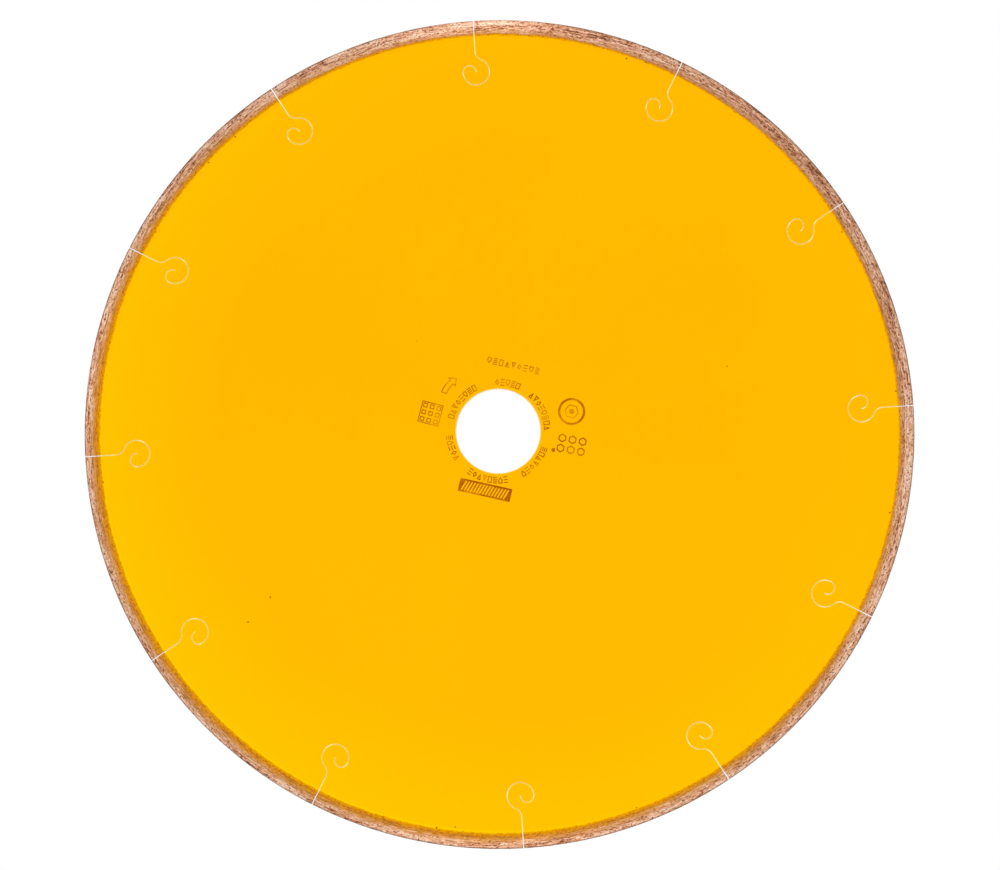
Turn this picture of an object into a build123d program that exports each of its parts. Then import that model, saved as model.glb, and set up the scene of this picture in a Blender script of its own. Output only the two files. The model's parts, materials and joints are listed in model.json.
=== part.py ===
from build123d import *
from math import asin, cos, degrees, isclose, radians, sin, sqrt
import os

# A diamond blade for cutting masonry and concrete: a thin lacquered steel core with curled relief
# slots, a sintered rim in separate segments, and the diamond grit that the rim exposes.
# Millimetres. The blade stands upright: it spins about Y, its marked front looks along -Y, +Z is up,
# and the origin is the middle of the arbor bore, half way through the core.
# Angles are in degrees, seen from the front, anticlockwise from +X.

# --- Driving dimensions -------------------------------------------------------------------------

blade_diameter = 250.0
bore_diameter = 25.4
core_thickness = 1.2
bore_chamfer = 0.1

# Rim: bonded over the edge of the core, and a little wider than it on both sides. Round notches
# in the core's edge key the segments to it.
rim_height = 5.0
rim_side_relief = 0.2
rim_socket_depth = 2.0
rim_shoulder_length = 1.0
rim_edge_break = 0.15
keys_per_segment = 5
key_radius = 0.8

# Relief slots: one between each two rim segments, ending in a curl that stops cracks.
slot_count = 12
slot_width = 0.2
slot_relief_in_rim = 0.05
curl_radius = 4.0
curl_blend_radius = 3.0
curl_inset = 10.6

# Lacquer: a coat on each side of the core, from just outside the bore's chamfer to the rim.
lacquer_thickness = 0.05
lacquer_setback = 0.1

# Diamond grit: crystals bedded in the faces of the rim, with their tips standing out. Each is a
# double pyramid with its tips cut off. The scatter is how far one may stray along the rim, as a
# share of its pitch, and the margins run from its middle to the edges and ends of its face.
grit_size = 0.4
grit_buried_share = 0.8
grit_taper = 35.26
grit_tip_share = 0.8
grit_per_side = 9
grit_per_edge = 6
grit_scatter = 0.5
grit_margin = 0.6
grit_end_margin = 1.0

# Marks: plain shapes burnt into the front coat, on a ring around the bore and outside that ring.
# Each gap is from the ring of legends to the middle of the mark.
mark_depth = 0.03
stroke_width = 0.3
glyph_height = 2.0
glyph_width = 1.3
legend_margin = 1.1
legend_pitch = 6.2
legend_groups = ((90.7, 5), (46.4, 8), (-22.3, 7), (-81.6, 8), (-148.0, 5), (162.2, 8))

row_gap = 4.5
row_angle = 73.5
row_count = 9
row_pitch = 1.85

panel_gap = 2.35
panel_angle = -106.1
panel_length = 16.0
panel_height = 4.0
panel_border = 0.55
panel_windows = 15
panel_bar_width = 0.45
panel_bar_slant = 20.0

arrow_gap = 4.2
arrow_tail_angle = 141.5
arrow_heading = 68.0
arrow_bend = -34.0
arrow_bend_radius = 7.0
arrow_head_length = 2.0
arrow_shaft_width = 1.8
arrow_head_width = 3.8

grid_gap = 5.3
grid_angle = 161.9
grid_size = 6.6
grid_cells = 3
grid_cell_size = 1.4

ring_gap = 7.1
ring_angle = 11.4
ring_radius = 4.1
ring_band = 0.7
ring_hexagon_radius = 2.2
ring_centre_radius = 0.8

cluster_gap = 6.7
cluster_angle = -14.2
cluster_pitch = 3.1
cluster_hexagon_radius = 1.35
cluster_band = 0.45

dot_gap = 1.75
dot_angle = -22.4
dot_radius = 0.6

# --- Sizes and places worked out from them ------------------------------------------------------

blade_radius = blade_diameter / 2
bore_radius = bore_diameter / 2
core_face = core_thickness / 2
lacquer_face = core_face + lacquer_thickness
rim_face = core_face + rim_side_relief
rim_inner_radius = blade_radius - rim_height
rim_middle_radius = blade_radius - rim_height / 2
core_radius = rim_inner_radius + rim_socket_depth
lacquer_bore_radius = bore_radius + bore_chamfer + lacquer_setback
segment_pitch = 360 / slot_count
key_count = keys_per_segment * slot_count
rim_gap = slot_width + 2 * slot_relief_in_rim

legend_radius = bore_radius + legend_margin + glyph_height / 2
legend_edge = bore_radius + legend_margin + glyph_height
arrow_radius = legend_edge + arrow_gap

front = Plane.XZ
spin_axis = Axis((0, 0, 0), (0, -1, 0))
golden_share = (sqrt(5) - 1) / 2
height_stream, along_stream, tilt_stream, turn_stream = 1, 3, 5, 7


def spread(number, stream):
    """A value from 0 to 1, well scattered over successive whole numbers, in its own way per stream."""
    return number * stream * golden_share % 1.0


def on_front(radius, angle, along=0.0):
    """A place on the front's sketch plane, turned so that its own +Y points away from the bore."""
    return Rot(Z=angle) * Pos(X=radius) * Rot(Z=-90) * Pos(X=along)


def radial_plane(angle):
    """The plane through the spin axis whose X points outward at the angle, and whose Y is +Y."""
    turn = radians(angle)
    outward = (cos(turn), 0, sin(turn))
    return Plane(origin=(0, 0, 0), x_dir=outward, z_dir=(-sin(turn), 0, cos(turn)))


def grit_spots(segment_number):
    """Where one segment's crystals sit: on its two sides beyond the core, and on its edge."""
    sink = (grit_buried_share - 0.5) * grit_size
    end_margin = degrees(grit_end_margin / blade_radius)
    start_angle = (segment_number - 1) * segment_pitch + end_margin
    sweep = segment_pitch - 2 * end_margin
    inner = core_radius + grit_margin
    outer = blade_radius - grit_margin
    edge_reach = rim_face - grit_margin

    def turned(seed, count, crystals_in_row):
        """A crystal's turn around the blade."""
        share = (count + grit_scatter * spread(seed, along_stream)) / crystals_in_row
        return Rot(Z=start_angle + sweep * share)

    def tilted(seed):
        """A crystal's own tilt in the bond."""
        return Rot(360 * spread(seed, tilt_stream), 360 * spread(seed, turn_stream), 0)

    spots = []
    for side in (1, -1):
        for count in range(grit_per_side):
            seed = (2 * segment_number + side) * grit_per_side + count
            radius = inner + (outer - inner) * spread(seed, height_stream)
            place = Pos(X=radius, Z=side * (rim_face - sink))
            spots.append(turned(seed, count, grit_per_side) * place * tilted(seed))
    for count in range(grit_per_edge):
        seed = segment_number * grit_per_edge + count
        across = edge_reach * (2 * spread(seed, height_stream) - 1)
        place = Pos(X=blade_radius - sink, Z=across)
        spots.append(turned(seed, count, grit_per_edge) * place * tilted(seed))
    return [front.location * spot for spot in spots]


# --- Shared profiles ----------------------------------------------------------------------------

# One relief slot along +X: straight in from past the core's edge, through a short reverse bend,
# round the curl, and back over half a turn to the curl's own centre.
slot_mouth = core_radius + slot_width
curl_centre = rim_inner_radius - curl_inset
bend_reach = curl_radius + curl_blend_radius
bend_start = curl_centre + sqrt(bend_reach**2 - curl_blend_radius**2)
bend_turn = degrees(asin(curl_blend_radius / bend_reach))

with BuildSketch() as slot:
    with BuildLine():
        for side in (slot_width / 2, -slot_width / 2):
            Line((slot_mouth, -side), (bend_start, -side))
            CenterArc((bend_start, -curl_blend_radius), curl_blend_radius - side, 90, 90 - bend_turn)
            CenterArc((curl_centre, 0), curl_radius + side, -bend_turn, bend_turn - 270)
            CenterArc((curl_centre, curl_radius / 2), curl_radius / 2 + side, 90, -180)
        for end in (slot_mouth, curl_centre):
            Line((end, -slot_width / 2), (end, slot_width / 2))
    make_face()

# The rim's section, outward along X: a low inner edge level with the lacquer, a sloping shoulder,
# the ground side, and a broken corner at the cutting edge.
rim_half_section = [
    (rim_inner_radius, lacquer_face),
    (rim_inner_radius + rim_shoulder_length, rim_face),
    (blade_radius - rim_edge_break, rim_face),
    (blade_radius, rim_face - rim_edge_break),
]
rim_section = rim_half_section + [(x, -y) for x, y in reversed(rim_half_section)]

with BuildPart() as crystal:
    with BuildSketch():
        Rectangle(grit_size / sqrt(2), grit_size / sqrt(2))
    extrude(amount=grit_tip_share * grit_size / 2, both=True, taper=grit_taper)

# --- Shapes of the marks ------------------------------------------------------------------------


def outlined_glyph(*corners):
    """A closed shape drawn in one stroke, to stand in a legend."""
    with BuildSketch() as glyph:
        with BuildLine():
            Polyline(*corners, close=True)
        make_face()
        offset(amount=-stroke_width, kind=Kind.INTERSECTION, mode=Mode.SUBTRACT)
    return glyph.sketch


def barred_glyph(bar_count):
    """A stack of level bars, to stand in a legend."""
    with BuildSketch() as glyph:
        with GridLocations(0, (glyph_height - stroke_width) / (bar_count - 1), 1, bar_count):
            Rectangle(glyph_width, stroke_width)
    return glyph.sketch


half_width = glyph_width / 2
top = glyph_height / 2
glyphs = [
    outlined_glyph((half_width, 0), (0, top), (-half_width, 0), (0, -top)),
    outlined_glyph((half_width, top), (-half_width, top), (-half_width, -top), (half_width, -top)),
    barred_glyph(3),
    outlined_glyph((half_width, -top), (0, top), (-half_width, -top)),
    outlined_glyph((half_width, 0), (half_width, top), (-half_width, top), (-half_width, 0), (0, -top)),
    outlined_glyph((half_width, top), (-half_width, top), (0, -top)),
    barred_glyph(4),
]


def glyph_at(group, place):
    """The glyph for a place in a legend, chosen so that neighbours differ."""
    return glyphs[(3 * group + 2 * place) % len(glyphs)]


window_top = panel_height / 2 - panel_border
window_lean = window_top * sin(radians(panel_bar_slant))
window_pitch = (panel_length - 2 * panel_border - 2 * window_lean) / panel_windows
window_side = (window_pitch - panel_bar_width) / 2
with BuildSketch() as panel:
    Rectangle(panel_length, panel_height)
    with GridLocations(window_pitch, 0, panel_windows, 1):
        Polygon(
            (window_lean + window_side, window_top),
            (window_lean - window_side, window_top),
            (-window_lean - window_side, -window_top),
            (-window_lean + window_side, -window_top),
            mode=Mode.SUBTRACT,
        )

# A bent arrow that shows the way the blade turns, drawn where it belongs on the face. Its heading
# at its tail and its bend are in degrees, and it ends in a broader head.
arrow_side = arrow_heading + 90
arrow_tail = Vector(arrow_radius, 0).rotate(Axis.Z, arrow_tail_angle)
arrow_centre = arrow_tail - Vector(arrow_bend_radius, 0).rotate(Axis.Z, arrow_side)
with BuildSketch() as arrow:
    with BuildLine():
        near = CenterArc(arrow_centre, arrow_bend_radius - arrow_shaft_width / 2, arrow_side, arrow_bend)
        far = CenterArc(arrow_centre, arrow_bend_radius + arrow_shaft_width / 2, arrow_side, arrow_bend)
        neck = (near @ 1 + far @ 1) / 2
        barb = (far @ 1 - near @ 1).normalized() * arrow_head_width / 2
        tip = neck + (far % 1) * arrow_head_length
        Line(near @ 0, far @ 0)
        Polyline(near @ 1, neck - barb, tip, neck + barb, far @ 1)
    make_face()
    offset(amount=-stroke_width, mode=Mode.SUBTRACT)

grid_pitch = (grid_size - stroke_width) / grid_cells
grid_opening = grid_size - 2 * stroke_width
grid_cell_opening = grid_cell_size - 2 * stroke_width
with BuildSketch() as grid:
    Rectangle(grid_size, grid_size)
    Rectangle(grid_opening, grid_opening, mode=Mode.SUBTRACT)
    with GridLocations(grid_pitch, grid_pitch, grid_cells, grid_cells):
        Rectangle(grid_cell_size, grid_cell_size)
        Rectangle(grid_cell_opening, grid_cell_opening, mode=Mode.SUBTRACT)

with BuildSketch() as ring:
    Circle(ring_radius)
    Circle(ring_radius - ring_band, mode=Mode.SUBTRACT)
    RegularPolygon(ring_hexagon_radius, 6)
    RegularPolygon(ring_hexagon_radius - stroke_width, 6, mode=Mode.SUBTRACT)
    Circle(ring_centre_radius)

with BuildSketch() as cluster:
    with GridLocations(cluster_pitch, cluster_pitch, 2, 3):
        RegularPolygon(cluster_hexagon_radius, 6)
        RegularPolygon(cluster_hexagon_radius - cluster_band, 6, mode=Mode.SUBTRACT)

with BuildSketch() as dot:
    Circle(dot_radius)

symbols = [
    (panel, panel_gap, panel_angle),
    (grid, grid_gap, grid_angle),
    (ring, ring_gap, ring_angle),
    (cluster, cluster_gap, cluster_angle),
    (dot, dot_gap, dot_angle),
]

# --- Marks --------------------------------------------------------------------------------------

with BuildPart() as front_marks:
    with BuildSketch(front.offset(lacquer_face)):
        for group, (group_angle, glyph_count) in enumerate(legend_groups):
            for place in range(glyph_count):
                with Locations(on_front(legend_radius, group_angle - legend_pitch * (place + 0.5))):
                    add(glyph_at(group, place))
        for place in range(row_count):
            along = (place - (row_count - 1) / 2) * row_pitch
            with Locations(on_front(legend_edge + row_gap, row_angle, along)):
                add(glyph_at(len(legend_groups), place))
        for symbol, gap, angle in symbols:
            with Locations(on_front(legend_edge + gap, angle)):
                add(symbol.sketch)
        add(arrow.sketch)
    extrude(amount=-mark_depth)

# --- Core and lacquer ---------------------------------------------------------------------------

with BuildPart() as steel_core:
    with BuildSketch(front.offset(-core_face)):
        Circle(core_radius)
        Circle(bore_radius, mode=Mode.SUBTRACT)
        with PolarLocations(0, slot_count):
            add(slot.sketch, mode=Mode.SUBTRACT)
        with PolarLocations(core_radius, key_count, start_angle=180 / key_count):
            Circle(key_radius, mode=Mode.SUBTRACT)
    extrude(amount=core_thickness)
    round_edges = steel_core.edges().filter_by(GeomType.CIRCLE)
    chamfer(round_edges.filter_by(lambda edge: isclose(edge.radius, bore_radius)), bore_chamfer)

with BuildSketch() as lacquer:
    Circle(rim_inner_radius)
    Circle(lacquer_bore_radius, mode=Mode.SUBTRACT)
    with PolarLocations(0, slot_count):
        add(slot.sketch, mode=Mode.SUBTRACT)

with BuildPart() as lacquer_front:
    with BuildSketch(front.offset(core_face)):
        add(lacquer.sketch)
    extrude(amount=lacquer_thickness)
    add(front_marks.part, mode=Mode.SUBTRACT)

with BuildPart() as lacquer_back:
    with BuildSketch(front.offset(-core_face)):
        add(lacquer.sketch)
    extrude(amount=-lacquer_thickness)

# --- Writing the parts, with the rim made one segment at a time ---------------------------------

os.makedirs("parts", exist_ok=True)

steel_core.part.label = "steel_core"
export_step(steel_core.part, "parts/steel_core.step")
lacquer_front.part.label = "lacquer_front"
export_step(lacquer_front.part, "parts/lacquer_front.step")
lacquer_back.part.label = "lacquer_back"
export_step(lacquer_back.part, "parts/lacquer_back.step")
front_marks.part.label = "front_marks"
export_step(front_marks.part, "parts/front_marks.step")

for number in range(1, slot_count + 1):
    first_angle = (number - 1) * segment_pitch

    with BuildPart() as diamond_grit:
        with Locations(*grit_spots(number)):
            add(crystal.part)
    diamond_grit.part.label = f"diamond_grit_{number:02d}"
    export_step(diamond_grit.part, f"parts/diamond_grit_{number:02d}.step")

    with BuildPart() as rim_segment:
        with BuildSketch(radial_plane(first_angle)):
            with BuildLine():
                Polyline(*rim_section, close=True)
            make_face()
        revolve(axis=spin_axis, revolution_arc=segment_pitch)
        with BuildSketch(front.offset(-rim_face)):
            for slot_angle in (first_angle, first_angle + segment_pitch):
                with Locations(on_front(rim_middle_radius, slot_angle)):
                    Rectangle(rim_gap, 2 * rim_height)
        extrude(amount=2 * rim_face, mode=Mode.SUBTRACT)
        add(steel_core.part, mode=Mode.SUBTRACT)
        add(diamond_grit.part, mode=Mode.SUBTRACT)
    rim_segment.part.label = f"rim_segment_{number:02d}"
    export_step(rim_segment.part, f"parts/rim_segment_{number:02d}.step")
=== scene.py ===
import json
from collections import defaultdict
from math import asin, ceil, cos, degrees, radians, sin, sqrt

import bpy
import numpy as np
from mathutils import Matrix, Vector
from mathutils.geometry import delaunay_2d_cdt


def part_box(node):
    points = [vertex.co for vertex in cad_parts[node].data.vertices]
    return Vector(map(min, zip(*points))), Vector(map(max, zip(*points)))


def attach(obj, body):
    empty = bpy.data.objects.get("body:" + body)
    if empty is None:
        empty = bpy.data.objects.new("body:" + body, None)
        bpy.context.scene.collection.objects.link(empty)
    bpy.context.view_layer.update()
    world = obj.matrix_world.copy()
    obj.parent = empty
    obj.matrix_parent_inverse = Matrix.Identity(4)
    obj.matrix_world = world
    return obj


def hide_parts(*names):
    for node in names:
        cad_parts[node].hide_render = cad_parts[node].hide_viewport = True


# The diamond blade's looks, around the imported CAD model. The blade stands upright: it spins about
# Y, its marked front looks along -Y, and +Z is up. Shapes are worked out in millimetres, as
# (x, z) on the blade's face and y through it, and become metres when a mesh is made.
# Angles are in degrees, seen from the front, anticlockwise from +X.

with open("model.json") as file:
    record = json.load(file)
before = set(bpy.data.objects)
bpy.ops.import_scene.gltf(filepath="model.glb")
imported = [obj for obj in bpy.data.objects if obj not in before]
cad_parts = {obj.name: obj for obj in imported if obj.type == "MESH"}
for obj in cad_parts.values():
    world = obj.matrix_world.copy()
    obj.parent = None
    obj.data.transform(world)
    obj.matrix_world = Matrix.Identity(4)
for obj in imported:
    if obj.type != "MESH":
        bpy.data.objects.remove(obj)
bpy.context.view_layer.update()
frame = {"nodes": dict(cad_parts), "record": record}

MM = 0.001
BODY = "root"

# --- Sizes, from the frame ------------------------------------------------------------------------

slot_count = sum(name.startswith("rim_segment_") for name in frame["nodes"])
segment_pitch = 360 / slot_count
bore = next(mount for mount in frame["record"]["mounts"] if mount["name"] == "arbor_bore")
bore_radius = bore["dims"]["r_mm"]
blade_radius = max(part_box(f"rim_segment_{n + 1:02d}")[1].z for n in range(slot_count)) / MM
rim_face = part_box("rim_segment_01")[1].y / MM
core_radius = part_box("steel_core")[1].x / MM
core_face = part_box("steel_core")[1].y / MM
lacquer_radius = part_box("lacquer_back")[1].z / MM
lacquer_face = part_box("lacquer_back")[1].y / MM
bore_chamfer = core_face - bore["dims"]["length_mm"] / 2

# --- Sizes that the frame doesn't state -----------------------------------------------------------

slot_width = 0.2
rim_gap = 0.3
curl_radius = 4.0
curl_blend_radius = 3.0
curl_inset = 10.6
keys_per_segment = 5
key_radius = 0.8
shoulder_length = 1.0
edge_break = 0.15
edge_bulge = 0.3

# How finely the meshes follow the shapes.
curve_step = 0.25
straight_step = 1.0
rim_step = 0.25
section_step = 0.2
field_step = 7.0
bore_steps = 240
crease_angle = 30

# The lacquer's edges: a lip along the slots and the bore, which creeps over each slot's edge.
lip_width = 0.12
lip_drop = 0.02
lip_creep = 0.055
mark_recess = 0.01

# The lacquer's ragged tail over the rim's shoulder. It reaches furthest, and is most ragged, on the
# side that the spray came from; elsewhere it keeps a floor share of its reach and its rag.
spray_side = 225
tail_start = -0.8
tail_reach = 1.1
tail_reach_floor = 0.45
tail_film = 0.05
tail_thin = 0.012
tail_wander = 0.25
tail_rag = 0.2
tail_rag_floor = 0.35
tail_bury = 0.02
tail_rows = 12

# How many bumps the tail's edge has in a millimetre along the rim: slow, ragged and fine.
wander_rate = 0.25
rag_rate = 1.1
fine_rag_rate = 3.1
fine_rag_share = 0.6

# The rim's ground surface, with the bumps in a millimetre along the rim and across it.
groove_depth = 0.012
groove_rates = (0.15, 4.0)
grain_depth = 0.01
grain_rates = (1.4, 2.4)
pit_depth = 0.035
pit_rates = (1.9, 2.2)
pit_share = 0.2

# Where each piece's noise starts.
front_tail_seed = 40
back_tail_seed = 60
groove_seed = 100
grain_seed = 120
pit_seed = 140

# --- Repeatable noise -----------------------------------------------------------------------------


def lattice(u, v, seed):
    """A value from 0 to 1 for each pair of whole numbers, with no pattern to see."""
    mixed = (u * 374761393 + v * 668265263 + seed * 1274126177) & 0xFFFFFFFF
    mixed = ((mixed ^ (mixed >> 13)) * 1103515245) & 0xFFFFFFFF
    return ((mixed ^ (mixed >> 16)) & 0xFFFF) / 0xFFFF


def noise(u, v, seed):
    """Smooth values from 0 to 1 over a plane, with one bump to a unit square."""
    u, v = np.broadcast_arrays(u, v)
    left = np.floor(u).astype(np.int64)
    low = np.floor(v).astype(np.int64)
    across = u - left
    up = v - low
    across = across * across * (3 - 2 * across)
    up = up * up * (3 - 2 * up)
    bottom = lattice(left, low, seed) * (1 - across) + lattice(left + 1, low, seed) * across
    top = lattice(left, low + 1, seed) * (1 - across) + lattice(left + 1, low + 1, seed) * across
    return bottom * (1 - up) + top * up


# --- Outlines on the blade's face -----------------------------------------------------------------


def turned(points, angle):
    """The points, turned about the bore."""
    turn = radians(angle)
    matrix = np.array([[cos(turn), sin(turn)], [-sin(turn), cos(turn)]])
    return points @ matrix


def polar(radii, angles):
    """Points at radii and angles in degrees."""
    turns = np.radians(angles)
    return np.column_stack([radii * np.cos(turns), radii * np.sin(turns)])


def circle(radius, count):
    """A circle's points, anticlockwise."""
    return polar(radius, np.arange(count) * 360 / count)


def arc(centre, radius, start, sweep):
    """An arc's points after its first, each with the unit vector to its left."""
    count = ceil(radians(abs(sweep)) * radius / curve_step)
    outward = polar(1.0, start + sweep * np.arange(1, count + 1) / count)
    left = outward if sweep < 0 else -outward
    return np.column_stack([np.array(centre) + radius * outward, left])


def slot_path(mouth):
    """The middle line of the slot on +X, from its mouth to the end of its curl, with left vectors."""
    reach = curl_radius + curl_blend_radius
    centre = lacquer_radius - curl_inset
    bend_start = centre + sqrt(reach**2 - curl_blend_radius**2)
    bend_turn = degrees(asin(curl_blend_radius / reach))
    along = np.linspace(mouth, bend_start, ceil((mouth - bend_start) / straight_step) + 1)
    straight = np.column_stack([along, 0 * along, 0 * along, 0 * along - 1])
    return np.vstack([
        straight,
        arc((bend_start, -curl_blend_radius), curl_blend_radius, 90, 90 - bend_turn),
        arc((centre, 0), curl_radius, -bend_turn, bend_turn - 270),
        arc((centre, curl_radius / 2), curl_radius / 2, 90, -180),
    ])


def slot_outline(half_width, radius):
    """The slot on +X as a notch in a disc: in along its lower side, round its end and out again."""
    path = slot_path(sqrt(radius**2 - half_width**2))
    middle, left = path[:, :2], path[:, 2:]
    end_left = left[-1]
    end_ahead = np.array([end_left[1], -end_left[0]])
    turns = np.radians([45, 90, 135])
    around = np.outer(np.cos(turns), end_left) + np.outer(np.sin(turns), end_ahead)
    end = middle[-1] + half_width * around
    return np.vstack([middle + half_width * left, end, (middle - half_width * left)[::-1]])


def column_angles(radius):
    """The angles of the rim's columns within one segment, at a radius: its ends are parallel walls."""
    count = ceil(radians(segment_pitch) * blade_radius / rim_step)
    end = np.degrees(np.arcsin(rim_gap / 2 / radius))
    share = np.linspace(0, 1, count + 1)
    return end + (segment_pitch - 2 * end) * share


def socket_floor(angles):
    """The radius of the core's edge, which has round key notches, at angles within a segment."""
    pitch = segment_pitch / keys_per_segment
    off = np.radians(angles % pitch - pitch / 2)
    across = core_radius * np.sin(off)
    notch = core_radius * np.cos(off) - np.sqrt(np.maximum(key_radius**2 - across**2, 0))
    return np.where(np.abs(across) < key_radius, notch, core_radius)


def disc_outline(half_width, radius, edge_angles, edge_radii):
    """A disc's edge with a slot between each two segments, anticlockwise."""
    notch = slot_outline(half_width, radius)
    edge = polar(edge_radii, edge_angles)
    one = np.vstack([notch, edge])
    return np.vstack([turned(one, number * segment_pitch) for number in range(slot_count)])


def field_points(keep_off, reach):
    """A loose net of points over the plain part of the face, away from all outlines."""
    rings = np.arange(bore_radius + field_step / 2, reach, field_step)
    net = np.vstack([circle(r, int(2 * np.pi * r / field_step)) for r in rings])
    gap = np.min(np.linalg.norm(net[:, None, :] - keep_off[None, ::4, :], axis=2), axis=1)
    return net[gap > field_step / 3]


# --- Plates: flat pieces with holes ---------------------------------------------------------------


def triangulate(loops, lines=(), loose=()):
    """Triangles over the face inside the first loop, by how many of the other loops hold each.

    Returns the points, the triangles, for each triangle the loops that hold it, and for each point
    the loop that it came from, or -1."""
    points = np.vstack([*loops, *lines, *loose])
    edges, faces, owner, start = [], [], [], 0
    for number, loop in enumerate([*loops, *lines]):
        ring = [start + k for k in range(len(loop))]
        if number < len(loops):
            faces.append(ring)
        else:
            edges += list(zip(ring, ring[1:] + ring[:1]))
        owner += [number if number < len(loops) else -1] * len(ring)
        start += len(ring)
    owner += [-1] * (len(points) - start)
    made = delaunay_2d_cdt([Vector(p) for p in points], edges, faces, 0, 1e-6)
    places = np.array([tuple(p) for p in made[0]])
    came_from = np.array([max((owner[k] for k in source), default=-1) for source in made[3]])
    return places, np.array(made[2]), [set(held) for held in made[5]], came_from


def outer_edges(triangles):
    """The edges that only one triangle has, walked with that triangle on the left."""
    edges = np.vstack([triangles[:, [0, 1]], triangles[:, [1, 2]], triangles[:, [2, 0]]])
    span = triangles.max() + 1
    there = edges[:, 0] * span + edges[:, 1]
    back = edges[:, 1] * span + edges[:, 0]
    return edges[~np.isin(there, back)]


def plate(triangles, layers):
    """A closed plate with the triangles on its first and last layers and walls through the others.

    A layer is the place of each point in space. Returns the vertices and the faces."""
    count = len(layers[0])
    edges = outer_edges(triangles)
    faces = triangles.tolist() + (triangles[:, ::-1] + (len(layers) - 1) * count).tolist()
    for number in range(len(layers) - 1):
        near = edges + number * count
        far = near + count
        faces += np.column_stack([near[:, 1], near[:, 0], far[:, 0], far[:, 1]]).tolist()
    return np.vstack(layers), faces


def at_depth(points, y):
    """Points on the face, put in space at a depth or at one depth each."""
    return np.column_stack([points[:, 0], np.broadcast_to(y, len(points)), points[:, 1]])


# --- Bands: what runs round a segment with one section --------------------------------------------


def band(radii, depths, angles):
    """A closed solid from grids of radius, depth and angle: a column for each turn, a row round it."""
    columns, rows = radii.shape
    turns = np.radians(angles)
    vertices = np.stack([radii * np.cos(turns), depths, radii * np.sin(turns)], axis=2).reshape(-1, 3)
    index = np.arange(columns * rows).reshape(columns, rows)
    after = np.roll(index, -1, axis=1)
    sides = np.stack([index[:-1], after[:-1], after[1:], index[1:]], axis=2).reshape(-1, 4)
    faces = sides.tolist() + [index[0][::-1].tolist(), index[-1].tolist()]
    return vertices, faces


def walk(corners, step):
    """Points along straight lines from corner to corner, at most a step apart, without the last."""
    points = []
    for start, end in zip(corners, corners[1:]):
        count = max(1, ceil(np.hypot(*(np.array(end) - start)) / step))
        points += [np.array(start) + (np.array(end) - start) * k / count for k in range(count)]
    return np.array(points)


def join(parts):
    """Several sets of vertices and faces as one."""
    vertices, faces, start = [], [], 0
    for places, polygons in parts:
        vertices.append(places)
        faces += [[k + start for k in polygon] for polygon in polygons]
        start += len(places)
    return np.vstack(vertices), faces


# --- Pieces ---------------------------------------------------------------------------------------


def new_piece(name, shape, material):
    """A mesh object from vertices in millimetres and faces, instead of the CAD node of its name."""
    vertices, faces = shape
    used = np.unique(np.concatenate([np.asarray(face) for face in faces]))
    place = np.zeros(len(vertices), int)
    place[used] = np.arange(len(used))
    mesh = bpy.data.meshes.new(name)
    mesh.from_pydata((vertices[used] * MM).tolist(), [], [place[face].tolist() for face in faces])
    mesh.polygons.foreach_set("use_smooth", [True] * len(mesh.polygons))
    mesh.set_sharp_from_angle(angle=radians(crease_angle))
    mesh.materials.append(material)
    piece = bpy.data.objects.new(name, mesh)
    bpy.context.collection.objects.link(piece)
    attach(piece, BODY)
    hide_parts(name)


def make_core(material):
    """The steel disc, with a chamfer on each side of its bore and key notches in its edge."""
    angles = column_angles(core_radius)
    edge = disc_outline(slot_width / 2, core_radius, angles, socket_floor(angles))
    mouth = circle(bore_radius + bore_chamfer, bore_steps)
    net = field_points(edge, core_radius)
    places, triangles, held, came_from = triangulate([edge, mouth], loose=[net])
    face = triangles[[loops == {0} for loops in held]]
    on_bore = came_from == 1
    narrowed = places.copy()
    narrowed[on_bore] *= bore_radius / (bore_radius + bore_chamfer)
    wall_end = core_face - bore_chamfer
    layers = [
        at_depth(places, -core_face),
        at_depth(narrowed, -wall_end),
        at_depth(narrowed, wall_end),
        at_depth(places, core_face),
    ]
    new_piece("steel_core", plate(face, layers), material)


def mark_loops():
    """The outlines of the burnt marks, read from their faces in the frame, anticlockwise."""
    mesh = frame["nodes"]["front_marks"].data
    corner = np.array([tuple(v.co) for v in mesh.vertices]) / MM
    mesh.calc_loop_triangles()
    triangles = np.array([tuple(t.vertices) for t in mesh.loop_triangles])
    front = np.all(corner[triangles][:, :, 1] < corner[:, 1].min() + lip_drop / 2, axis=1)
    keys, index = np.unique(np.round(corner[:, [0, 2]], 4), axis=0, return_inverse=True)
    edges = outer_edges(index.reshape(-1)[triangles[front]])
    following = defaultdict(list)
    for start, end in edges:
        following[start].append(end)
    loops = []
    while following:
        first = next(iter(following))
        loop, here = [], first
        while True:
            loop.append(here)
            ahead = following[here]
            after = ahead.pop()
            if not ahead:
                del following[here]
            here = after
            if here == first:
                break
        points = keys[loop]
        after = np.roll(points, -1, axis=0)
        turn = np.sum(points[:, 0] * after[:, 1] - points[:, 1] * after[:, 0])
        loops.append(points if turn > 0 else points[::-1])
    return loops


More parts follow.
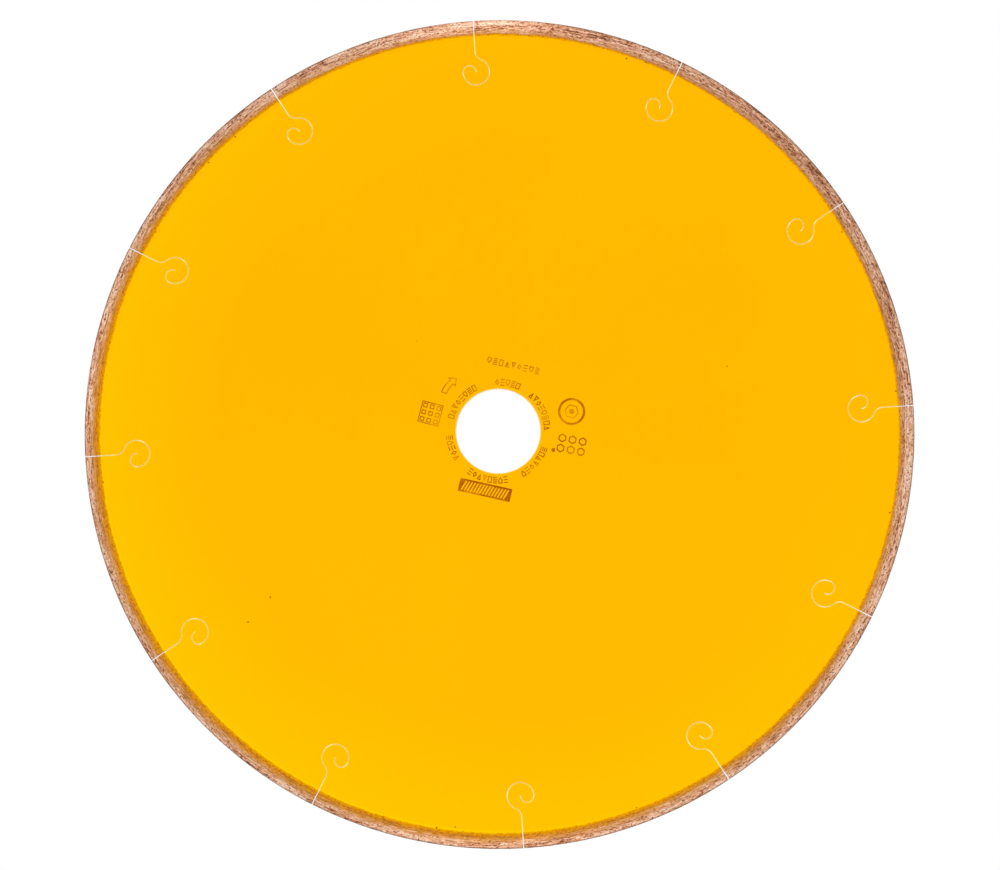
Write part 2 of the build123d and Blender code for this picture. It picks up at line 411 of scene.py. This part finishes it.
def tail_shape(number, side):
    """The thin ragged edge of the lacquer over one segment's shoulder."""
    angles = column_angles(lacquer_radius)
    seen = angles + number * segment_pitch
    run = np.radians(seen) * lacquer_radius
    seed = front_tail_seed if side < 0 else back_tail_seed
    facing = (1 + np.cos(np.radians(seen - spray_side))) / 2
    spray = tail_rag_floor + (1 - tail_rag_floor) * facing
    wander = noise(run * wander_rate, 0, seed) - 0.5
    fine = noise(run * fine_rag_rate, 0, seed + 2) - 0.5
    rag = noise(run * rag_rate, 0, seed + 1) - 0.5 + fine_rag_share * fine
    length = tail_reach * (tail_reach_floor + (1 - tail_reach_floor) * spray)
    reach = length + tail_wander * wander + 2 * tail_rag * spray * rag
    share = np.linspace(0, 1, tail_rows)
    over = tail_start + (reach[:, None] - tail_start) * share[None, :]
    ground = lacquer_face + (rim_face - lacquer_face) * np.clip(over / shoulder_length, 0, 1)
    rise = np.clip((over - tail_start) / -tail_start, 0, 1)
    film = tail_film * rise * rise * (3 - 2 * rise)
    thinned = film + (tail_thin - tail_film) * np.clip(over / reach[:, None], 0, 1)
    film = np.where(over > 0, thinned, film)
    top = lacquer_radius + over
    under = top[:, ::-2]
    under_ground = ground[:, ::-2] - tail_bury
    radii = np.hstack([top, under])
    depths = side * np.hstack([ground + film, under_ground])
    columns = np.repeat((angles + number * segment_pitch)[:, None], radii.shape[1], axis=1)
    if side > 0:
        radii, depths = radii[:, ::-1], depths[:, ::-1]
    return band(radii, depths, columns)


def make_lacquer(side, loops, lacquer, burnt):
    """One coat: a film with lips, cut away where it is marked, and its tail over the rim."""
    name = "lacquer_front" if side < 0 else "lacquer_back"
    angles = column_angles(lacquer_radius)
    half_gap = slot_width / 2 - lip_creep
    edge = disc_outline(half_gap, lacquer_radius, angles, lacquer_radius)
    inner = lacquer_radius - lip_width
    lip = disc_outline(half_gap + lip_width, inner, column_angles(inner), inner)
    mouth = circle(bore_radius + bore_chamfer, bore_steps)
    mouth_lip = circle(bore_radius + bore_chamfer + lip_width, bore_steps)
    net = field_points(np.vstack([edge, *loops]), lacquer_radius)
    places, triangles, held, came_from = triangulate([edge, mouth, *loops], [lip, mouth_lip], [net])
    painted = triangles[[1 not in at and 0 in at and len(at) % 2 == 1 for at in held]]
    marked = triangles[[1 not in at and 0 in at and len(at) % 2 == 0 for at in held]]
    on_lip = (came_from == 0) | (came_from == 1)
    top = at_depth(places, side * np.where(on_lip, lacquer_face - lip_drop, lacquer_face))
    bottom = at_depth(places, side * core_face)
    layers = [top, bottom] if side < 0 else [bottom, top]
    tails = [tail_shape(number, side) for number in range(slot_count)]
    shape = join([plate(painted, layers), *tails])
    new_piece(name, shape, lacquer)
    if len(marked):
        sunk = at_depth(places, side * (lacquer_face - mark_recess))
        new_piece("front_marks", plate(marked, [sunk, bottom]), burnt)


def make_rim_segment(number, material):
    """One segment: its ground faces, worn and pitted, around a keyed socket for the core."""
    half_section = [
        (lacquer_radius, -core_face),
        (lacquer_radius, -lacquer_face),
        (lacquer_radius + shoulder_length, -rim_face),
        (blade_radius - edge_break, -rim_face),
        (blade_radius - edge_break * edge_bulge, -rim_face + edge_break * edge_bulge),
        (blade_radius, -rim_face + edge_break),
    ]
    other_half = [(r, -y) for r, y in reversed(half_section)]
    ground = walk(half_section + other_half, section_step)
    mouth = (lacquer_radius, core_face)
    section = np.vstack([ground, mouth, (core_radius, core_face), (core_radius, -core_face)])
    ahead = np.roll(section, -1, axis=0) - np.roll(section, 1, axis=0)
    length = np.linalg.norm(ahead, axis=1)[:, None]
    outward = np.column_stack([ahead[:, 1], -ahead[:, 0]]) / length
    # What touches the coats, and the socket, isn't worn.
    worn = np.ones(len(section))
    worn[:3] = 0
    worn[len(ground) - 2:] = 0

    angles = np.column_stack([column_angles(radius) for radius in section[:, 0]])
    radii = np.tile(section[:, 0], (len(angles), 1))
    depths = np.tile(section[:, 1], (len(angles), 1))
    radii[:, -2:] = socket_floor(angles[:, -2:])

    run = np.radians(angles + number * segment_pitch) * blade_radius
    around = np.cumsum(np.hypot(*np.diff(section, axis=0, prepend=section[:1]).T))[None, :]
    grooves = noise(run * groove_rates[0], around * groove_rates[1], groove_seed + number)
    grain = noise(run * grain_rates[0], around * grain_rates[1], grain_seed + number)
    hollows = noise(run * pit_rates[0], around * pit_rates[1], pit_seed + number)
    pits = np.clip((hollows - 1 + pit_share) / pit_share, 0, 1)
    depth = worn * (groove_depth * grooves + grain_depth * grain + pit_depth * pits)
    radii = radii - depth * outward[None, :, 0]
    depths = depths - depth * outward[None, :, 1]
    name = f"rim_segment_{number + 1:02d}"
    shape = band(radii, depths, angles + number * segment_pitch)
    new_piece(name, shape, material)


# --- Colours: linear red, green and blue, or such colours at places on a ramp ---------------------

field_yellows = (1.0, 0.455, 0.0), (1.0, 0.478, 0.0)
# Painted light: the lacquer lighter near the rim, most towards the lower left.
outer_yellows = (1.0, 0.48, 0.0), (1.0, 0.53, 0.0)
# Painted highlight on the bead at the lacquer's edge.
bead_highlight_yellow = (1.0, 0.60, 0.0)
# Painted highlight on the lacquer's lips.
lip_highlight_yellow = (1.0, 0.86, 0.26)
chamfer_yellow = (1.0, 0.47, 0.005)
slot_yellow = (1.0, 0.80, 0.16)
thin_lacquer_browns = (
    (0.44, (0.78, 0.32, 0.001)),
    (0.56, (0.70, 0.25, 0.001)),
    (0.66, (0.36, 0.09, 0.001)),
)
speck_brown = (0.34, 0.07, 0.0)
lacquer_gloss = (1.0, 0.55, 0.02)
burnt_browns = (
    (0.40, (0.38, 0.08, 0.0)),
    (0.5, (0.52, 0.15, 0.0)),
    (0.58, (0.72, 0.26, 0.0)),
)
bond_coppers = (
    (0.42, (0.22, 0.07, 0.025)),
    (0.46, (0.63, 0.28, 0.15)),
    (0.51, (0.82, 0.43, 0.26)),
    (0.57, (1.0, 0.72, 0.54)),
)
pore_brown = (0.16, 0.05, 0.02)
# Painted shade on the rim's outer edge.
edge_shade_brown = (0.14, 0.075, 0.05)
# Painted shade on the rim's inner band.
inner_shade_brown = (0.34, 0.13, 0.07)
mist_brown = (0.76, 0.31, 0.01)
spray_browns = (0.74, 0.29, 0.002), (0.40, 0.11, 0.002)
score_brown = (0.33, 0.10, 0.01)
steel_greys = (0.3, (0.42, 0.42, 0.43)), (0.7, (0.66, 0.66, 0.67))
diamond_browns = (0.3, (0.035, 0.02, 0.012)), (0.7, (0.16, 0.10, 0.05))
studio_grey = (0.8, 0.8, 0.8, 1.0)
studio_white = (1.0, 1.0, 1.0, 1.0)
floor_white = (0.97, 0.97, 0.97)

# --- Reaches: millimetres outward from the lacquer's edge, or from the rim's ----------------------

outer_yellow_start = -35.0
bead_highlight_reach = (-0.45, -0.1)
speck_reach = (-1.0, 0.3)
thin_reach = (0.1, 0.6)
thin_drift = 0.25
inner_shade_reach = (0.8, 2.6)
score_reach = (2.2, 3.4)
edge_shade_reach = (-0.5, -0.2)

# --- Textures -------------------------------------------------------------------------------------

# Features to a millimetre along the rim, outward and through the blade.
broad_grid = (0.06, 0.7, 0.7)
streak_grid = (0.28, 2.4, 2.4)
grain_grid = (1.0, 2.4, 2.4)
pore_grid = (1.3, 2.2, 2.2)
drift_grid = (0.5, 1.6, 1.6)
score_grid = (0.12, 4.0, 4.0)
thinning_grid = (0.8, 1.6, 1.6)
brown_grid = (1.4, 2.6, 2.6)
turning_grid = (0.05, 3.0, 22.0)

# Features to a metre, the same in all directions.
cloud_scale = 9.0
wave_scale = 90.0
peel_scale = 900.0
gloss_scale = 60.0
speck_scale = 700.0
heat_scale = 150.0
blotch_scale = 1600.0
burr_scale = 6000.0
diamond_scale = 700.0
facet_scale = 2500.0

# What noise seldom passes.
noise_low = 0.3
noise_high = 0.7

# --- Materials ------------------------------------------------------------------------------------


class Nodes:
    """A node tree, with each node added along with what feeds it."""

    def __init__(self, tree):
        self.tree = tree

    def feed(self, socket, value):
        """A socket gets a plain value, or a link from another node's socket."""
        if isinstance(value, bpy.types.NodeSocket):
            self.tree.links.new(value, socket)
        else:
            socket.default_value = value

    def add(self, kind, inputs, **settings):
        """A node of a kind, with its inputs fed by name or number."""
        node = self.tree.nodes.new(kind)
        for key, value in settings.items():
            setattr(node, key, value)
        for key, value in inputs.items():
            self.feed(node.inputs[key], value)
        return node

    def math(self, operation, *values):
        """The result of a sum on one or two values."""
        node = self.add("ShaderNodeMath", dict(enumerate(values)), operation=operation)
        return node.outputs[0]

    def span(self, value, low, high, to_low=0.0, to_high=1.0):
        """The value from low to high as a value from to_low to to_high, held there outside."""
        inputs = {"Value": value, "From Min": low, "From Max": high}
        inputs.update({"To Min": to_low, "To Max": to_high})
        return self.add("ShaderNodeMapRange", inputs).outputs["Result"]

    def swing(self, noise, to_low=0.0, to_high=1.0):
        """Noise, spread out from to_low to to_high."""
        return self.span(noise, noise_low, noise_high, to_low, to_high)


class Recipe(Nodes):
    """A material's nodes, around its Principled BSDF."""

    def __init__(self, name):
        self.material = bpy.data.materials.new(name)
        self.material.use_nodes = True
        super().__init__(self.material.node_tree)
        self.shader = self.tree.nodes["Principled BSDF"]

    def place(self):
        """Where a point is on the blade, in metres."""
        return self.add("ShaderNodeTexCoord", {}).outputs["Object"]

    def polar(self, place):
        """Along the rim, outward from the spin axis and through the blade, in millimetres."""
        parts = self.add("ShaderNodeSeparateXYZ", {0: place}).outputs
        turn = self.math("ARCTAN2", parts["Z"], parts["X"])
        flat = self.add("ShaderNodeCombineXYZ", {"X": parts["X"], "Y": parts["Z"]}).outputs[0]
        radius = self.add("ShaderNodeVectorMath", {0: flat}, operation="LENGTH").outputs["Value"]
        along = self.math("MULTIPLY", turn, blade_radius)
        return along, self.math("DIVIDE", radius, MM), self.math("DIVIDE", parts["Y"], MM)

    def round_rim(self, place):
        """The direction in which the rim was ground: round the spin axis."""
        parts = self.add("ShaderNodeSeparateXYZ", {0: place}).outputs
        back = self.math("MULTIPLY", parts["Z"], -1.0)
        return self.add("ShaderNodeCombineXYZ", {"X": back, "Z": parts["X"]}).outputs[0]

    def drawn_out(self, measures, grid, detail=3.0, roughness=0.6):
        """Noise with its own features to a millimetre in each of three measures."""
        scaled = [self.math("MULTIPLY", value, scale) for value, scale in zip(measures, grid)]
        place = self.add("ShaderNodeCombineXYZ", dict(zip("XYZ", scaled))).outputs[0]
        return self.noise(place, 1.0, detail, roughness)

    def weighed(self, *parts):
        """The sum of values, each times its weight."""
        total = 0.0
        for value, weight in parts:
            total = self.math("ADD", total, self.math("MULTIPLY", value, weight))
        return total

    def spray_and_light_share(self, along):
        """How much lacquer mist reached the rim there, also the weight of painted light and shade:
        most at lower left, least opposite.
        """
        turn = self.math("SUBTRACT", self.math("DIVIDE", along, blade_radius), radians(spray_side))
        return self.span(self.math("COSINE", turn), -0.8, 0.9)

    def noise(self, place, scale, detail=2.0, roughness=0.5):
        """Noise about 0.5; the scale is its features to a metre on a plain place."""
        inputs = {"Vector": place, "Scale": scale, "Detail": detail, "Roughness": roughness}
        return self.add("ShaderNodeTexNoise", inputs).outputs["Fac"]

    def ramp(self, value, *stops):
        """The colour at a value between stops, each a position and a colour."""
        node = self.add("ShaderNodeValToRGB", {"Fac": value})
        points = node.color_ramp.elements
        while len(points) < len(stops):
            points.new(0.5)
        for point, (position, colour) in zip(points, stops):
            point.position = position
            point.color = (*colour, 1.0)
        return node.outputs["Color"]

    def mix(self, share, first, second):
        """The first colour, with a share of the second."""
        inputs = {0: share}
        for key, colour in ((6, first), (7, second)):
            inputs[key] = (*colour, 1.0) if isinstance(colour, tuple) else colour
        return self.add("ShaderNodeMix", inputs, data_type="RGBA").outputs[2]

    def bump(self, height, distance, strength, normal=None):
        """A surface tilted by a height, over a distance in millimetres, on top of another bump."""
        inputs = {"Height": height, "Distance": distance * MM, "Strength": strength}
        if normal:
            inputs["Normal"] = normal
        return self.add("ShaderNodeBump", inputs).outputs["Normal"]

    def finish(self, **inputs):
        """The material, with the shader's inputs fed."""
        for key, value in inputs.items():
            socket = self.shader.inputs[key.replace("_", " ").title().replace("Ior", "IOR")]
            self.feed(socket, (*value, 1.0) if isinstance(value, tuple) else value)
        return self.material


def lacquer_material():
    """Smooth baked yellow lacquer, browned where it thins out over the shoulder, with a few specks."""
    recipe = Recipe("yellow_lacquer")
    place = recipe.place()
    measures = along, radius, through = recipe.polar(place)
    share = recipe.spray_and_light_share(along)
    over = recipe.math("SUBTRACT", radius, lacquer_radius)
    inner = recipe.mix(recipe.swing(recipe.noise(place, cloud_scale, 3.0)), *field_yellows)
    # Painted light: near its edge the lacquer is lighter, most towards the lower left.
    outer = recipe.mix(share, *outer_yellows)
    field = recipe.mix(recipe.span(over, outer_yellow_start, -1.0), inner, outer)
    # Painted highlight: a lighter yellow ring just inside the lacquer's edge, most towards the lower
    # left.
    bead_highlight = recipe.span(over, *bead_highlight_reach, 0.0, 0.8)
    highlit_bead = recipe.math("MULTIPLY", bead_highlight, recipe.span(share, 0.7, 1.0))
    edged = recipe.mix(highlit_bead, field, bead_highlight_yellow)
    height = recipe.math("ABSOLUTE", through)
    # Painted highlight: the lips along the slots and the bore are coloured a paler yellow.
    lip = recipe.span(height, lacquer_face - lip_drop * 0.35, lacquer_face - 0.001, 1.0, 0.0)
    yellow = recipe.mix(lip, edged, lip_highlight_yellow)

    ragged = recipe.drawn_out(measures, thinning_grid, 4.0, 0.65)
    drifted = recipe.math("ADD", over, recipe.swing(ragged, -thin_drift, thin_drift))
    thin = recipe.span(drifted, *thin_reach)
    grain = recipe.drawn_out(measures, brown_grid)
    browned = recipe.mix(thin, yellow, recipe.ramp(grain, *thin_lacquer_browns))

    cells = {"Vector": place, "Scale": speck_scale, "Randomness": 1.0}
    spots = recipe.add("ShaderNodeTexVoronoi", cells)
    draw = recipe.add("ShaderNodeSeparateColor", {"Color": spots.outputs["Color"]}).outputs
    odds = recipe.span(over, *speck_reach, 0.0005, 0.12)
    chosen = recipe.math("LESS_THAN", draw[0], odds)
    size = recipe.span(spots.outputs["Distance"], 0.16, 0.26, 1.0, 0.0)
    speck = recipe.math("MULTIPLY", chosen, size)
    colour = recipe.mix(recipe.math("MULTIPLY", speck, 0.85), browned, speck_brown)

    wave = recipe.bump(recipe.noise(place, wave_scale), 0.01, 0.4)
    peel = recipe.bump(recipe.noise(place, peel_scale), 0.004, 0.5, wave)
    rough = recipe.swing(recipe.noise(place, gloss_scale, 3.0), 0.3, 0.38)
    return recipe.finish(
        base_color=colour,
        roughness=rough,
        normal=peel,
        specular_ior_level=0.2,
        specular_tint=lacquer_gloss,
    )


def burnt_material():
    """Lacquer burnt by a marking laser: uneven orange brown, matt and scored."""
    recipe = Recipe("burnt_marks")
    place = recipe.place()
    heat = recipe.noise(place, heat_scale)
    blotch = recipe.noise(place, blotch_scale, 3.0, 0.6)
    colour = recipe.ramp(recipe.weighed((heat, 0.65), (blotch, 0.35)), *burnt_browns)
    normal = recipe.bump(recipe.noise(place, burr_scale), 0.01, 0.8)
    return recipe.finish(base_color=colour, roughness=0.7, normal=normal, specular_ior_level=0.02)


def bond_material():
    """Sintered copper and bronze, ground round the rim, with dark pores and lacquer mist inside."""
    recipe = Recipe("sintered_bond")
    place = recipe.place()
    measures = recipe.polar(place)
    along, radius = measures[:2]
    over = recipe.math("SUBTRACT", radius, lacquer_radius)
    broad = recipe.drawn_out(measures, broad_grid)
    streak = recipe.drawn_out(measures, streak_grid)
    grain = recipe.drawn_out(measures, grain_grid)
    tone = recipe.weighed((broad, 0.3), (streak, 0.4), (grain, 0.3))
    bond = recipe.ramp(tone, *bond_coppers)
    pits = recipe.drawn_out(measures, pore_grid, 1.0, 0.5)
    pored = recipe.mix(recipe.span(pits, 0.60, 0.66, 0.0, 0.9), bond, pore_brown)
    # Painted shade: the rim is darker along its outer edge.
    edge = recipe.span(recipe.math("SUBTRACT", radius, blade_radius), *edge_shade_reach, 0.0, 0.6)
    edged = recipe.mix(edge, pored, edge_shade_brown)

    share = recipe.spray_and_light_share(along)
    # Painted shade: the rim's inner band is darker away from the lower left.
    inside = recipe.span(over, *inner_shade_reach, 0.55, 0.0)
    shade_side = recipe.span(share, 0.0, 0.6, 1.0, 0.0)
    shaded = recipe.mix(recipe.math("MULTIPLY", inside, shade_side), edged, inner_shade_brown)
    ragged = recipe.swing(recipe.drawn_out(measures, drift_grid, 5.0, 0.7), -1.0, 1.0)
    reach = recipe.weighed((share, 1.2), (ragged, 0.5), (1.0, -0.3))
    beyond = recipe.math("SUBTRACT", recipe.math("SUBTRACT", over, shoulder_length), reach)
    covered = recipe.span(beyond, 0.0, 0.5, 1.0, 0.0)
    haze = recipe.span(beyond, -0.2, 2.2, 0.8, 0.0)
    misted = recipe.math("MULTIPLY", haze, recipe.span(share, 0.0, 0.6, 0.3, 1.0))
    hazed = recipe.mix(misted, shaded, mist_brown)
    spray = recipe.mix(recipe.span(grain, 0.46, 0.60), *spray_browns)
    sprayed = recipe.mix(recipe.math("MULTIPLY", covered, 0.9), hazed, spray)
    score = recipe.drawn_out(measures, score_grid, 2.0, 0.5)
    layer = recipe.span(over, *score_reach, 1.0, 0.0)
    line = recipe.math("MULTIPLY", recipe.span(score, 0.54, 0.62, 0.0, 0.75), layer)
    colour = recipe.mix(recipe.math("MULTIPLY", line, share), sprayed, score_brown)

    metal = recipe.span(covered, 0.0, 1.0, 0.6, 0.0)
    rough = recipe.swing(streak, 0.36, 0.5)
    normal = recipe.bump(streak, 0.03, 0.6, recipe.bump(grain, 0.03, 0.6))
    return recipe.finish(
        base_color=colour,
        metallic=metal,
        roughness=rough,
        normal=normal,
        specular_ior_level=0.12,
        anisotropic=0.85,
        anisotropic_rotation=0.25,
        tangent=recipe.round_rim(place),
    )


def steel_material():
    """Bare turned steel in the bore, with lacquer on its chamfers and on the walls of the slots."""
    recipe = Recipe("core_steel")
    measures = recipe.polar(recipe.place())
    radius, through = measures[1:]
    turning = recipe.drawn_out(measures, turning_grid, 3.0, 0.5)
    steel = recipe.ramp(turning, *steel_greys)
    height = recipe.math("ABSOLUTE", through)
    wall_end = core_face - bore_chamfer
    in_slot = recipe.span(radius, bore_radius + 2.0, bore_radius + 3.0)
    on_chamfer = recipe.span(height, wall_end - 0.02, wall_end + 0.02)
    painted = recipe.math("MAXIMUM", in_slot, on_chamfer)
    colour = recipe.mix(painted, steel, recipe.mix(in_slot, chamfer_yellow, slot_yellow))
    metal = recipe.math("SUBTRACT", 1.0, painted)
    normal = recipe.bump(turning, 0.01, 0.5)
    return recipe.finish(base_color=colour, metallic=metal, roughness=0.35, normal=normal)


def grit_material():
    """Dark synthetic diamond, with facets that catch the light."""
    recipe = Recipe("diamond_grit")
    place = recipe.place()
    colour = recipe.ramp(recipe.noise(place, diamond_scale), *diamond_browns)
    rough = recipe.swing(recipe.noise(place, facet_scale, 1.0), 0.12, 0.3)
    return recipe.finish(base_color=colour, roughness=rough, ior=2.0)


# --- Studio ---------------------------------------------------------------------------------------


def make_camera():
    """The camera in front of the blade, a little to its right and below, and rolled."""
    distance = 0.78
    azimuth, elevation, roll = radians(1.0), radians(-3.05), radians(-3.5)
    lens = bpy.data.cameras.new("camera")
    lens.sensor_width = 36.0
    lens.lens = 93.15
    lens.shift_x = 0.0018
    lens.shift_y = -0.0038
    lens.clip_start = 0.01
    camera = bpy.data.objects.new("camera", lens)
    bpy.context.collection.objects.link(camera)
    back = Vector((sin(azimuth) * cos(elevation), -cos(azimuth) * cos(elevation), sin(elevation)))
    camera.location = back * distance
    turn = (-back).to_track_quat("-Z", "Y").to_matrix() @ Matrix.Rotation(roll, 3, "Z")
    camera.rotation_euler = turn.to_euler()
    bpy.context.scene.camera = camera


def make_sun(name, azimuth, elevation, strength, softness):
    """A soft light from far away; azimuth 0 is from the front, 90 from +X."""
    light = bpy.data.lights.new(name, "SUN")
    light.energy = strength
    light.angle = radians(softness)
    lamp = bpy.data.objects.new(name, light)
    bpy.context.collection.objects.link(lamp)
    turn, rise = radians(azimuth), radians(elevation)
    towards = Vector((sin(turn) * cos(rise), -cos(turn) * cos(rise), sin(rise)))
    lamp.rotation_euler = towards.to_track_quat("Z", "Y").to_euler()


def make_world():
    """White behind the blade for the camera. It lights softly from all round: less from the front
    than from behind, and least from the sides."""
    world = bpy.data.worlds.new("studio")
    bpy.context.scene.world = world
    world.use_nodes = True
    nodes = Nodes(world.node_tree)
    nodes.tree.nodes.clear()
    place = nodes.add("ShaderNodeTexCoord", {}).outputs["Generated"]
    parts = nodes.add("ShaderNodeSeparateXYZ", {0: place}).outputs
    front_to_back = nodes.span(parts["Y"], -1.0, 1.0, 0.8, 1.1)
    aside = nodes.span(nodes.math("ABSOLUTE", parts["X"]), 0.35, 1.0, 1.0, 0.35)
    strength = nodes.math("MULTIPLY", front_to_back, aside)
    lit = nodes.add("ShaderNodeBackground", {"Color": studio_grey, "Strength": strength}).outputs[0]
    seen = nodes.add("ShaderNodeBackground", {"Color": studio_white}).outputs[0]
    path = nodes.add("ShaderNodeLightPath", {}).outputs["Is Camera Ray"]
    both = nodes.add("ShaderNodeMixShader", {0: path, 1: lit, 2: seen}).outputs[0]
    nodes.add("ShaderNodeOutputWorld", {"Surface": both})


def make_floor():
    """A plain pale floor under the blade."""
    half, height = 2.4, -0.45
    corners = [(x * half, y * half, height) for x, y in ((-1, -1), (1, -1), (1, 1), (-1, 1))]
    mesh = bpy.data.meshes.new("floor")
    mesh.from_pydata(corners, [], [(0, 1, 2, 3)])
    recipe = Recipe("pale_floor")
    pale = recipe.finish(base_color=floor_white, roughness=0.8, specular_ior_level=0.1)
    mesh.materials.append(pale)
    floor = bpy.data.objects.new("floor", mesh)
    bpy.context.collection.objects.link(floor)


# --- The scene ------------------------------------------------------------------------------------

make_camera()
lacquer, burnt = lacquer_material(), burnt_material()
bond, steel, grit = bond_material(), steel_material(), grit_material()
make_core(steel)
make_lacquer(-1, mark_loops(), lacquer, burnt)
make_lacquer(1, [], lacquer, burnt)
for number in range(slot_count):
    make_rim_segment(number, bond)
    crystals = frame["nodes"][f"diamond_grit_{number + 1:02d}"]
    for material_slot in crystals.material_slots:
        material_slot.material = grit

make_world()
make_sun("key", azimuth=2.0, elevation=55.0, strength=1.15, softness=12.0)
make_sun("fill", azimuth=-50.0, elevation=10.0, strength=0.6, softness=30.0)
make_floor()
bpy.context.scene.view_settings.view_transform = "Standard"
